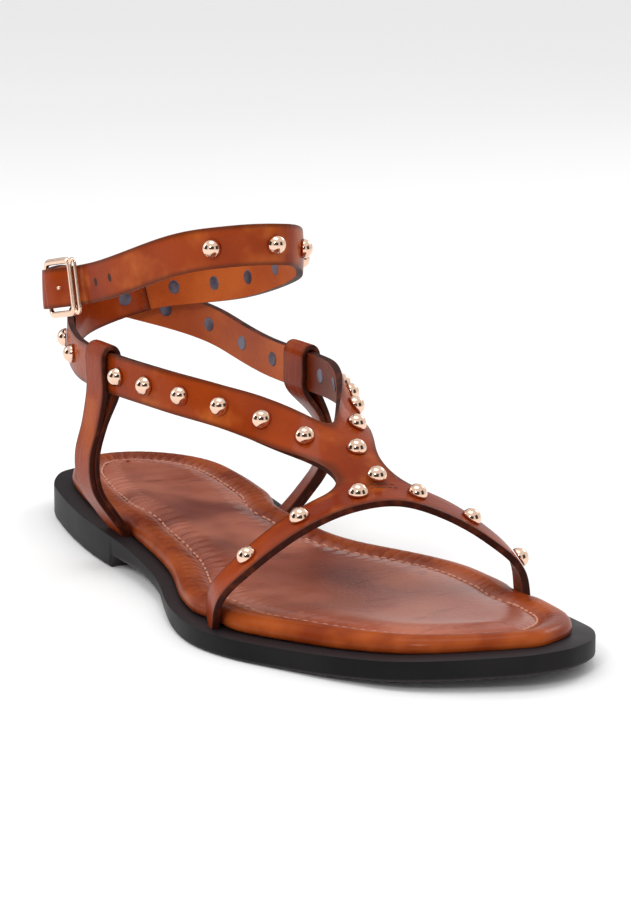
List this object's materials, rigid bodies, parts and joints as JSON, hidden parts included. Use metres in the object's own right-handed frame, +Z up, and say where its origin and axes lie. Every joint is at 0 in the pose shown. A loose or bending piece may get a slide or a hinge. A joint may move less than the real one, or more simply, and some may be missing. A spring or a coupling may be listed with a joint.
{
  "type": "studded flat sandal",
  "caption": "Open flat sandal for the right foot: toe strap, forked instep strap, buckled ankle straps with domed studs, padded footbed and low-heeled sole.",
  "frame": {"origin": "middle of the heel's underside, on the floor", "axes": "+X from heel to toe, +Y to the inner side of the foot, +Z up"},
  "size_m": [0.258, 0.0965, 0.1073],
  "materials": {
    "sole_rubber": "satin moulded rubber, paler along the welt",
    "footbed_leather": "padded leather with a burnished rolled rim",
    "strap_leather": "glossy tan leather with dark painted edges and an orange lining",
    "keeper_leather": "glossy tan leather, doubled",
    "rose_gold": "pale rose-gold plated, polished"
  },
  "bodies": {
    "root": {"outsole": "sole_rubber", "footbed": "footbed_leather", "upper": "strap_leather", "lateral_keeper": "keeper_leather", "medial_keeper": "keeper_leather", "buckle": "rose_gold", "toe_stud_01": "rose_gold", "toe_stud_02": "rose_gold", "toe_stud_03": "rose_gold", "toe_stud_04": "rose_gold", "toe_stud_05": "rose_gold", "toe_stud_06": "rose_gold", "instep_stud_01": "rose_gold", "instep_stud_02": "rose_gold", "instep_stud_03": "rose_gold", "instep_stud_04": "rose_gold", "instep_stud_05": "rose_gold", "instep_stud_06": "rose_gold", "instep_stud_07": "rose_gold", "inner_stud_01": "rose_gold", "inner_stud_02": "rose_gold", "inner_stud_03": "rose_gold", "inner_stud_04": "rose_gold", "outer_stud_01": "rose_gold", "outer_stud_02": "rose_gold", "outer_stud_03": "rose_gold", "outer_stud_04": "rose_gold", "outer_stud_05": "rose_gold", "outer_stud_06": "rose_gold", "heel_stud_01": "rose_gold", "heel_stud_02": "rose_gold", "ankle_stud_01": "rose_gold", "ankle_stud_02": "rose_gold", "ankle_stud_03": "rose_gold", "ankle_stud_04": "rose_gold", "ankle_stud_05": "rose_gold", "ankle_stud_06": "rose_gold", "ankle_stud_07": "rose_gold", "ankle_stud_08": "rose_gold"}
  },
  "joints": []
}
